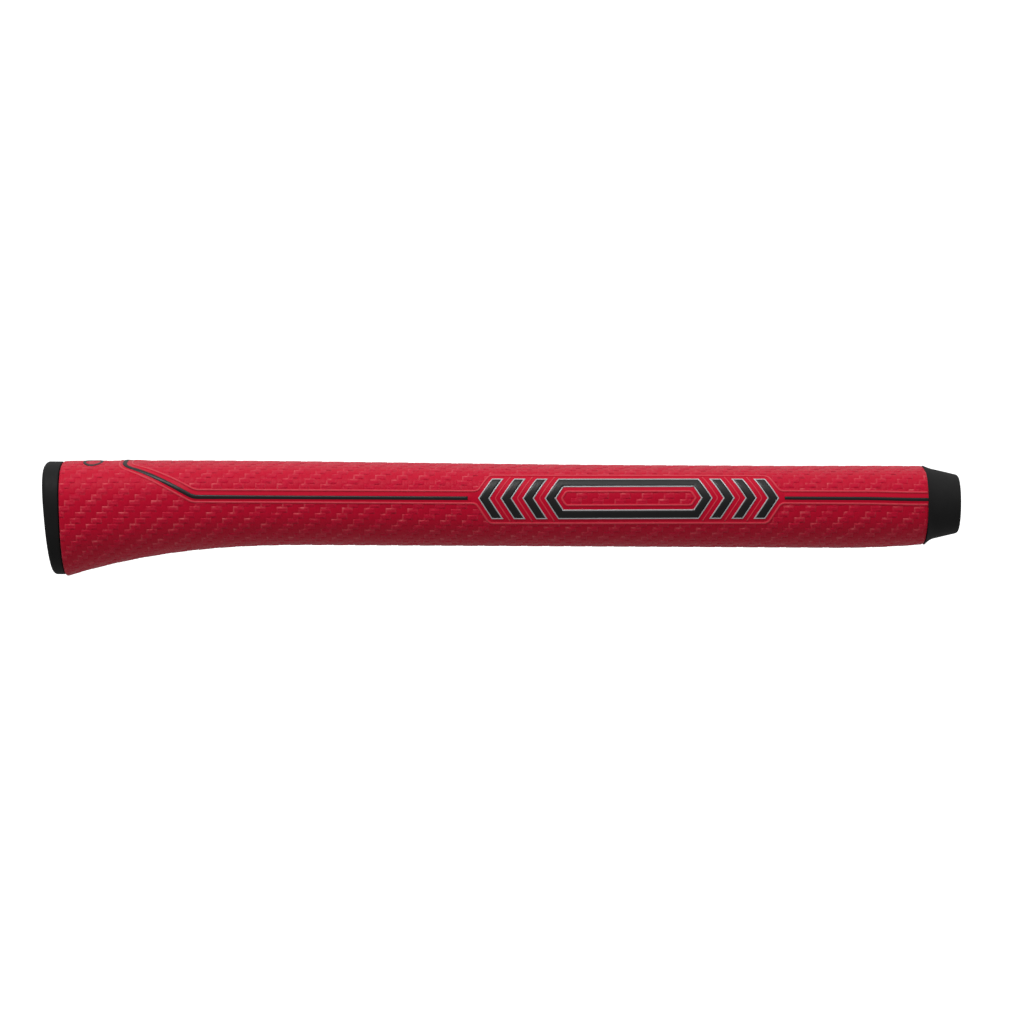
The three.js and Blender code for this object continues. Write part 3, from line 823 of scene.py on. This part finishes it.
def skin_material():
    """Matte polyurethane. Its twill has fine threads that run along each tow, a painted highlight on the
    tows' edges that face the front and painted shade on the edges that face the back.
    """
    n = surface("red_polyurethane", 0.4, RED_SPECULAR, RED_SHEEN, RED_TINT)
    sheet = n.add("UVMap", uv_map="sheet").outputs["UV"]
    split = n.add("SeparateXYZ", {0: sheet})
    woven = n.attribute("woven")
    along = n.times(n.attribute("along"), woven)
    around = n.math("SUBTRACT", woven, along)
    threads_along = n.math("COSINE", n.times(split.outputs[1], -2 * math.pi * THREADS / TOW_WIDTH))
    threads_around = n.math("COSINE", n.times(split.outputs[0], -2 * math.pi * THREADS / TOW_LENGTH))
    streaks_along = n.times(n.streaks(sheet, (STREAKS_LONG, STREAKS_FINE, 1)), along)
    streaks_around = n.times(n.streaks(sheet, (STREAKS_FINE, STREAKS_LONG, 1)), around)
    streaks = n.math("ADD", streaks_along, streaks_around)
    relief_along = n.times(threads_along, n.times(along, -0.5))
    relief_around = n.times(threads_around, n.times(around, -0.2))
    relief = n.math("ADD", n.math("ADD", relief_along, relief_around), streaks)
    grain = n.bump(n.noise(4200, 4), 0.02 * MM, 0.5)
    n.set("Normal", n.bump(relief, 0.07 * MM, 0.9, Normal=grain))
    base = n.colour(woven, RED_PLAIN, n.colour(along, RED_AROUND, RED_ALONG))
    dusty = n.times(n.range(n.noise(640, 4), -0.8, 1.8), n.math("ADD", along, n.times(around, 0.5)))
    dust = n.times(n.range(streaks, -0.5, 1.5), dusty)
    # Random strength of the painted highlight and the painted shade on the tows' edges.
    edges = n.times(woven, n.range(n.noise(520, 2), -1.7, 2.3))
    painted_highlight = n.times(n.attribute("painted_highlight"), edges)
    # Painted shade on the tows' back edges, a little weaker than the painted highlight.
    painted_shade = n.times(n.attribute("painted_shade"), n.times(edges, 0.8))
    colour = n.colour(painted_shade, n.colour(dust, base, RED_DUSTY), RED_PAINTED_SHADE)
    n.set("Base Color", n.colour(painted_highlight, colour, RED_PAINTED_HIGHLIGHT))
    n.set("Roughness", n.range(n.noise(1500, 3), 0.33, 0.45))
    return n.owner


def plain_red_material():
    """The same polyurethane where it isn't woven, with a highlight painted on the crests of its ridges."""
    n = surface("red_polyurethane_smooth", 0.38, RED_SPECULAR, RED_SHEEN, RED_TINT)
    painted_highlight = n.times(n.attribute("painted_highlight"), n.range(n.noise(900, 3), 0.3, 1.1))
    n.set("Base Color", n.colour(painted_highlight, n.colour(n.noise(180, 4), RED_PLAIN, RED_LIGHT), RED_PAINTED_HIGHLIGHT))
    n.set("Roughness", n.range(n.noise(1500, 3), 0.31, 0.43))
    n.set("Normal", n.bump(n.noise(4200, 4), 0.015 * MM, 0.4))
    return n.owner


def rubber_material(name, dark, light):
    n = surface(name, roughness=0.55, specular=0.14)
    n.set("Base Color", n.colour(n.noise(220, 5), dark, light))
    n.set("Roughness", n.range(n.noise(900, 4), 0.5, 0.66))
    n.set("Normal", n.bump(n.noise(5200, 5), 0.02 * MM, 0.55))
    return n.owner


def black_print_material():
    n = surface("black_print", roughness=0.36, specular=0.42)
    n.set("Base Color", n.colour(n.noise(600, 4), (0.004, 0.004, 0.0045), (0.009, 0.009, 0.0095)))
    n.set("Roughness", n.range(n.noise(2500, 4), 0.28, 0.46))
    n.set("Normal", n.bump(n.noise(6500, 3), 0.02 * MM, 0.5))
    return n.owner


def silver_print_material():
    n = surface("silver_print", roughness=0.42, specular=0.35)
    n.set("Metallic", 0.35)
    n.set("Base Color", n.colour(n.noise(900, 3), (0.5, 0.51, 0.53), (0.62, 0.63, 0.65)))
    n.set("Roughness", n.range(n.noise(2500, 4), 0.36, 0.5))
    n.set("Normal", n.bump(n.noise(7000, 2), 0.01 * MM, 0.4))
    return n.owner


def foam_material():
    n = surface("grey_foam", roughness=0.9)
    cells = n.add("TexVoronoi", {"Vector": n.place(), "Scale": 2200})
    n.set("Normal", n.bump(cells.outputs["Distance"], 0.08 * MM, 0.7))
    n.set("Base Color", n.colour(n.noise(500, 4), (0.03, 0.03, 0.032), (0.055, 0.055, 0.058)))
    return n.owner


def felt_material():
    n = surface("felt", roughness=0.95)
    n.set("Normal", n.bump(n.noise(2600, 8), 0.1 * MM, 0.9))
    n.set("Base Color", n.colour(n.noise(1400, 6), (0.46, 0.44, 0.40), (0.64, 0.61, 0.56)))
    return n.owner


# --- Rubber ends and core ---

def circle(radius, x, plane=None):
    """A ring about the bore at x, or at x past a leaning plane."""
    z = radius * np.sin(TURNS)
    return stacked(x + plane(z) if plane else x, radius * np.cos(TURNS), z)


def quarter_turn(count):
    """(1 - sine, 1 - cosine) pairs over a quarter turn, for rounded edges."""
    turn = np.linspace(0, FRONT, count)
    return zip(1 - np.sin(turn), 1 - np.cos(turn))


def flange_ring(inset, plane, x=0.0):
    """A ring round the flange, at x past a plane."""
    ring = lifted(np.zeros(AROUND), TURNS, CAP_INSET_TILT * np.sin(TURNS) - inset)
    ring[:, 0] = plane(ring[:, 2]) + x
    return ring


def build_cap(material):
    """The flange with its rounded edges, the vent, the shaft seat and the sleeve."""
    rings = [flange_ring(CAP_INSET + CAP_BACK_DROP, cap_joint)]
    for inset, drop in quarter_turn(5):
        rings.append(flange_ring(CAP_INSET + CAP_BACK_ROUND * inset, cap_joint, -CAP_BACK_ROUND * drop))
    start = flange_ring(CAP_INSET, cap_joint, -CAP_BACK_ROUND)
    end = flange_ring(CAP_INSET, cap_face, CAP_EDGE_RADIUS)
    rings += [start + share * (end - start) for share in (0.25, 0.5, 0.75)]
    for rise, inset in quarter_turn(12):
        rings.append(flange_ring(CAP_INSET + CAP_EDGE_RADIUS * inset, cap_face, CAP_EDGE_RADIUS * rise))
    vent_edge = VENT_RADIUS + VENT_CHAMFER
    rings += [
        flange_ring(CAP_INSET + CAP_EDGE_RADIUS + CAP_FACE_RING, cap_face),
        circle(VENT_RADIUS + VENT_FACE_RING, 0, cap_face),
        circle(vent_edge + BREAK / 2, 0, cap_face),
        circle(vent_edge, BREAK / 5, cap_face),
        circle(VENT_RADIUS, VENT_CHAMFER, cap_face),
        circle(VENT_RADIUS, -2 * BREAK),
        circle(VENT_RADIUS, 0),
        circle(VENT_RADIUS + BREAK, 0),
        circle(BORE_RADIUS - BREAK, 0),
        circle(BORE_RADIUS, BREAK),
        circle(BORE_RADIUS, CAP_SLEEVE_END - BREAK),
        circle(BORE_RADIUS + BREAK, CAP_SLEEVE_END),
        circle(SLEEVE_RADIUS - SLEEVE_CHAMFER, CAP_SLEEVE_END),
        circle(SLEEVE_RADIUS, CAP_SLEEVE_END - SLEEVE_CHAMFER),
        circle(SLEEVE_RADIUS, 0, cap_joint),
    ]
    finish_piece(ring_solid("cap", rings, material), "butt_cap")


def collar_ring(x, inset=0.0):
    cone = CONE_TIP_RADIUS + CONE_SLOPE * (COLLAR_TIP - x)
    flare_out = np.maximum(0, 1 - (x - LIP_X) / LIP_LENGTH) ** 2
    radius = cone + (LIP_STAND - LIP_TILT * np.sin(TURNS)) * flare_out - inset
    z = radius * np.sin(TURNS)
    share = np.clip(1 - (x - LIP_X) / LIP_FADE, 0, 1)
    return stacked(x - share * (LIP_LEAN * z + tip_bow(z)), radius * np.cos(TURNS), z)


def build_collar(material):
    """The lip, the cone with its rounded end, the mouth and the sleeve."""
    lip_back = CONE_TIP_RADIUS + CONE_SLOPE * (COLLAR_TIP - COLLAR_BACK) - LIP_BACK_DROP
    lip_end = LIP_X + LIP_LENGTH
    rings = [circle(lip_back, COLLAR_BACK)]
    rings += [collar_ring(LIP_X - before, inset) for before, inset in LIP_BACK]
    rings += [collar_ring(LIP_X + t * LIP_LENGTH) for t in np.linspace(0, 1, 14) ** LIP_CROWDING]
    rings += [collar_ring(x) for x in np.linspace(lip_end, COLLAR_TIP - COLLAR_EDGE_RADIUS, 6)[1:-1]]
    for drop, inset in quarter_turn(9):
        rings.append(collar_ring(COLLAR_TIP - COLLAR_EDGE_RADIUS * drop, COLLAR_EDGE_RADIUS * inset))
    for inset, drop in quarter_turn(5):
        rings.append(circle(MOUTH_RADIUS + MOUTH_ROUND * inset, COLLAR_TIP - MOUTH_ROUND * drop))
    rings += [
        circle(BORE_RADIUS, COLLAR_SLEEVE_END + BREAK),
        circle(BORE_RADIUS + BREAK, COLLAR_SLEEVE_END),
        circle(SLEEVE_RADIUS - SLEEVE_CHAMFER, COLLAR_SLEEVE_END),
        circle(SLEEVE_RADIUS, COLLAR_SLEEVE_END + SLEEVE_CHAMFER),
        circle(SLEEVE_RADIUS, COLLAR_BACK),
    ]
    finish_piece(ring_solid("collar", rings, material), "tip_collar")


def build_core(material):
    """The foam core, with its bore and its two sockets."""
    core_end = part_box("underlisting_core")[1].x
    flared = np.linspace(0, FLARE_LENGTH, 40)
    straight = np.linspace(FLARE_LENGTH, TAPER_START, 6)[1:]
    tapered = np.linspace(TAPER_START, core_end, 12)[1:]
    rings = []
    for station in [*flared, *straight, *tapered]:
        ring = lifted(np.full(AROUND, station), TURNS, -CORE_DEPTH)
        ring[:, 0] += max(0, 1 - station / LEAN_FADE) * (cap_joint(ring[:, 2]) + END_GAP)
        rings.append(ring)
    socket = SLEEVE_RADIUS + SOCKET_GAP
    rings += [
        circle(socket, core_end),
        circle(socket, COLLAR_SLEEVE_END - END_GAP),
        circle(BORE_RADIUS, COLLAR_SLEEVE_END - END_GAP),
        circle(BORE_RADIUS, CAP_SLEEVE_END + END_GAP),
        circle(socket, CAP_SLEEVE_END + END_GAP),
        circle(socket, END_GAP, cap_joint),
    ]
    finish_piece(ring_solid("foam_core", rings, material), "underlisting_core")


# --- Lines, beads, seam, ring and emblem ---

def build_lines(material):
    """The line over the front near the butt, and the lines from the emblems to the tip."""
    route = mirrored(butt_route(0))
    widths = 1 + LINE_BUTT_WIDENING * (1 - smoothstep(LINE_WIDE_END, LINE_NARROW_START, route[:, 0]))
    line = bead("line_butt", route, LINE_HALF_WIDTH, LINE_STAND, material, CRISP, widths)
    finish_piece(line, "stripe_butt")
    x = np.linspace(LINE_TIP_START, SKIN_END - LINE_END_GAP, 80)
    for name, side in SIDES:
        route = stacked(x, side * LINE_REACH)
        line = bead(f"line_tip_{name}", route, LINE_TIP_HALF_WIDTH, LINE_STAND, material, CRISP)
        finish_piece(line, f"stripe_tip_{name}")


def panel_bead_route(side):
    """Half of the bead beside the line: side is 1 towards the front and -1 towards the back."""
    half_length, half_height, shoulder = FIELD_OUTSIDE
    offset = BAND_SHIFT + side * BAND_HALF_WIDTH
    meet = half_length - abs(offset) * EMBLEM_SLOPE
    near = LINE_REACH - offset
    far = LINE_REACH - side * half_height
    corners = [
        (SKIN_END - BEAD_END_GAP, near),
        (EMBLEM_CENTRE + meet, near),
        (EMBLEM_CENTRE + shoulder, far),
        (EMBLEM_CENTRE - shoulder, far),
        (EMBLEM_CENTRE - meet, near),
        *line_corners(offset),
    ]
    return rounded_route(corners, [FIELD_CORNER] * 4 + [LINE_KINK_CORNER, LINE_FRONT_CORNER])


def emblem_route(corners, side):
    """A rounded route through corners given about the emblem's middle on one side."""
    return rounded_route([(EMBLEM_CENTRE + x, side * (LINE_REACH - z)) for x, z in corners], CREASE_CORNER)


def build_beads(material):
    """The ridges at the edges of the smooth zones, and the creases between the chevrons."""
    def ridge(name, route, closed=False):
        piece = bead(f"bead_{name}", route, BEAD_HALF_WIDTH, BEAD_HEIGHT, material, RIDGE, closed=closed)
        finish_piece(piece, "outer_wrap")

    def crease(name, route):
        piece = bead(f"bead_{name}", route, CREASE_HALF_WIDTH, CREASE_HEIGHT, material)
        finish_piece(piece, "outer_wrap")

    ridge("front_panel", mirrored(panel_bead_route(1)))
    ridge("back_panel", mirrored(panel_bead_route(-1)))
    end = EMBLEM_HALF_HEIGHT + FIELD_MARGIN - BEAD_HALF_WIDTH - CREASE_END_GAP
    for side_name, side in SIDES:
        ridge(f"{side_name}_ring", emblem_route(hexagon_corners(FIELD_INSIDE), side)[:-1], closed=True)
        for word, facing in (("butt", -1), ("tip", 1)):
            for k in range(CHEVRONS):
                tip = EMBLEM_HALF_LENGTH - k * CHEVRON_PITCH - (CHEVRON_PITCH + EMBLEM_STROKE) / 2
                back = tip - EMBLEM_SLOPE * end
                corners = [(facing * back, end), (facing * tip, 0), (facing * back, -end)]
                crease(f"{side_name}_{word}_{k + 1}", emblem_route(corners, side))


def build_seam(material):
    """The strip that fills the seam down the back, slightly crowned between two fine grooves."""
    station, across = np.meshgrid(np.linspace(0, SKIN_END, 400), np.linspace(-1, 1, 9), indexing="ij")
    x = leaned(station, -back_depth(station))
    from_middle = np.abs(across) * SEAM_WIDTH / 2
    reach = np.where(across > 0, -1, 1) * (half_girth(x) - from_middle)
    top = on_wrap(x, reach, SEAM_TOP - SEAM_CROWN * np.abs(across) ** 3)
    bottom = on_wrap(x, reach, -SEAM_DEPTH)
    finish_piece(patch_solid("seam", top, bottom, material), "seam_strip")


def build_front_ring(material):
    """A flat oval ring, longer across the grip than along it."""
    turn = np.linspace(0, 2 * math.pi, 96, endpoint=False)[:, None]
    aside, lift = half_round(0.5, RING_STAND, FLAT)
    half_length, half_span = (a + (b - a) * (aside + 0.5) for a, b in zip(RING_INNER, RING_OUTER))
    x = RING_X + half_length * np.cos(turn)
    reach = half_span * np.sin(turn)
    top = on_wrap(x, reach, lift)
    bottom = on_wrap(x, reach, -BEAD_SINK)
    finish_piece(patch_solid("ring", top, bottom, material, closed=True), "front_ring")


def print_height(edge):
    """Height of the print by the distance from its edge: a rounded silver rim, then the black face."""
    rim = RIM_STAND * np.sqrt(np.clip(edge / RIM_ROUND, 0, 1))
    dip = PRINT_GROOVE * np.exp(-((edge - RIM_WIDTH) / GROOVE_WIDTH) ** 2)
    face = (PRINT_STAND - RIM_STAND) * smoothstep(RIM_WIDTH, RIM_WIDTH + PRINT_RISE, edge)
    return rim + face - dip


def print_piece(name, x, above, edge, side, node, materials, closed=False):
    """One emblem piece from a grid, split into its silver rim and its black face."""
    across = side * (LINE_REACH - above)
    top = on_pattern(x, across, print_height(edge) - PRINT_EDGE * np.isclose(edge, 0))
    bottom = on_pattern(x, across, -PRINT_SINK)
    padded = np.concatenate([edge, edge[:1]]) if closed else edge
    cell_edge = (padded[1:, 1:] + padded[:-1, :-1] + padded[1:, :-1] + padded[:-1, 1:]) / 4
    is_rim = cell_edge < RIM_WIDTH
    rim = patch_solid(f"{name}_rim", top, bottom, materials[0], is_rim, closed)
    finish_piece(rim, node)
    face = patch_solid(f"{name}_face", top, bottom, materials[1], ~is_rim, closed)
    finish_piece(face, node)


def lines_between(low, high, step):
    """Positions from low to high: the rim's lines at both ends and even steps between."""
    inner = np.linspace(low + RIM_LINES[-1], high - RIM_LINES[-1], max(2, math.ceil((high - low) / step)))
    return np.unique(np.concatenate([low + RIM_LINES, inner, high - RIM_LINES]))


def build_chevron(name, point_x, facing, side, node, materials):
    upper = lines_between(0, EMBLEM_HALF_HEIGHT, CHEVRON_STEP)
    above = np.unique(np.concatenate([-upper, upper]))
    above, within = np.meshgrid(above, lines_between(0, STROKE_WIDTH, STROKE_STEP), indexing="ij")
    x = point_x - facing * (within * EMBLEM_LEAN + EMBLEM_SLOPE * np.abs(above))
    edge = np.minimum(np.minimum(within, STROKE_WIDTH - within), EMBLEM_HALF_HEIGHT - np.abs(above))
    print_piece(name, x, above, edge, side, node, materials)


def build_long_ring(name, side, node, materials):
    corners = np.array(hexagon_corners(hexagon(LONG_RING_HALF_LENGTH, -STROKE_WIDTH / 2)))
    counts = np.ceil(np.linalg.norm(np.diff(corners, axis=0), axis=1) / LONG_RING_STEP).astype(int)
    legs = zip(corners, corners[1:], counts)
    route = np.concatenate([np.linspace(start, end, count, endpoint=False) for start, end, count in legs])
    within = lines_between(0, STROKE_WIDTH, STROKE_STEP)
    aside = (within - STROKE_WIDTH / 2)[None, :, None]
    grid = route[:, None, :] + asides(route, closed=True)[:, None, :] * aside
    x, above = np.moveaxis(grid, -1, 0)
    edge = np.broadcast_to(np.minimum(within, STROKE_WIDTH - within), x.shape)
    print_piece(name, EMBLEM_CENTRE + x, above, edge, side, node, materials, closed=True)


def build_emblems(materials):
    """Three chevrons, a long ring and three mirrored chevrons on each side."""
    for name, side in SIDES:
        for k in range(CHEVRONS):
            distance = EMBLEM_HALF_LENGTH - k * CHEVRON_PITCH
            for facing, number in ((-1, k + 1), (1, 2 * CHEVRONS + 1 - k)):
                point_x = EMBLEM_CENTRE + facing * distance
                node = f"{name}_emblem_{number}"
                build_chevron(f"{name}_chevron_{number}", point_x, facing, side, node, materials)
        build_long_ring(f"{name}_long_ring", side, f"{name}_emblem_{CHEVRONS + 1}", materials)


# --- Stage, lights and camera ---

def stage_piece(name, points, faces, material):
    """A white surface that only the camera sees, so that it throws no colour on the grip."""
    piece = make_object(name, points, faces, material)
    for ray in ("diffuse", "glossy", "shadow"):
        setattr(piece, f"visible_{ray}", False)


def build_stage():
    """A white sweep: a round floor that turns up into a dome."""
    n = surface("pale_sweep", roughness=0.9, specular=0.0)
    n.set("Base Color", n.colour(n.noise(3, 2), (0.86, 0.86, 0.86), (0.9, 0.9, 0.9)))
    n.set("Emission Color", (1, 1, 1, 1))
    n.set("Emission Strength", 1.0)
    turns = np.linspace(0, 2 * math.pi, 96, endpoint=False)
    rises = np.linspace(0, FRONT, 24)
    radius = STAGE_RADIUS * np.cos(rises)
    height = STAGE_RADIUS * np.sin(rises) - FLOOR_DROP
    points = stacked(radius[:, None] * np.cos(turns), radius[:, None] * np.sin(turns), height[:, None])
    walls = cell_quads(len(rises), len(turns), closed_columns=True).reshape(-1, 4)
    stage_piece("backdrop", points, walls, n.owner)
    stage_piece("floor", points[0], [tuple(range(len(turns)))], n.owner)


def build_world():
    """Soft studio light: bright above, dim at the horizon and a little brighter below."""
    world = bpy.data.worlds.new("studio")
    bpy.context.scene.world = world
    n = Nodes(world, "Background")
    split = n.add("SeparateXYZ", {0: n.add("TexCoord").outputs["Generated"]})
    height = n.add("MapRange", {"Value": split.outputs[2], "From Min": -1})
    ramp = n.add("ValToRGB", {"Fac": height.outputs["Result"]})
    ramp.color_ramp.elements.new(0.5)
    for stop, strength in zip(ramp.color_ramp.elements, SKY):
        stop.color = (strength, strength, strength, 1)
    n.set("Color", (1, 1, 1, 1))
    n.set("Strength", ramp.outputs["Color"])


def build_key_light():
    light = bpy.data.lights.new("key", "AREA")
    light.shape = "RECTANGLE"
    light.size, light.size_y = KEY_SIZE
    light.energy = KEY_POWER
    lamp = bpy.data.objects.new("key", light)
    lamp.location = KEY_PLACE
    lamp.rotation_euler = (TARGET - Vector(KEY_PLACE)).to_track_quat("-Z", "Y").to_euler()
    bpy.context.scene.collection.objects.link(lamp)


def build_camera():
    data = bpy.data.cameras.new("camera")
    data.sensor_width = SENSOR_MM
    data.lens = SENSOR_MM * CAMERA_DISTANCE / VIEW_WIDTH
    data.clip_start = 0.05
    data.clip_end = 200
    camera = bpy.data.objects.new("camera", data)
    away = Vector((0, -math.cos(CAMERA_ELEVATION), math.sin(CAMERA_ELEVATION)))
    place = Matrix.Translation(TARGET + away * CAMERA_DISTANCE)
    turn = (-away).to_track_quat("-Z", "Y").to_matrix().to_4x4()
    camera.matrix_world = place @ turn @ Matrix.Rotation(CAMERA_ROLL, 4, "Z")
    bpy.context.scene.collection.objects.link(camera)
    bpy.context.scene.camera = camera


# --- The scene ---

red_smooth = plain_red_material()
black_print = black_print_material()
build_skin(skin_material())
build_beads(red_smooth)
build_seam(red_smooth)
build_cap(rubber_material("cap_rubber", CAP_DARK, CAP_LIGHT))
build_collar(rubber_material("collar_rubber", COLLAR_DARK, COLLAR_LIGHT))
build_core(foam_material())
build_lines(black_print)
build_front_ring(black_print)
build_emblems((silver_print_material(), black_print))
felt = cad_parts["felt_backing"].data.materials
felt.clear()
felt.append(felt_material())

build_stage()
build_world()
build_key_light()
build_camera()
bpy.context.scene.view_settings.view_transform = "Standard"
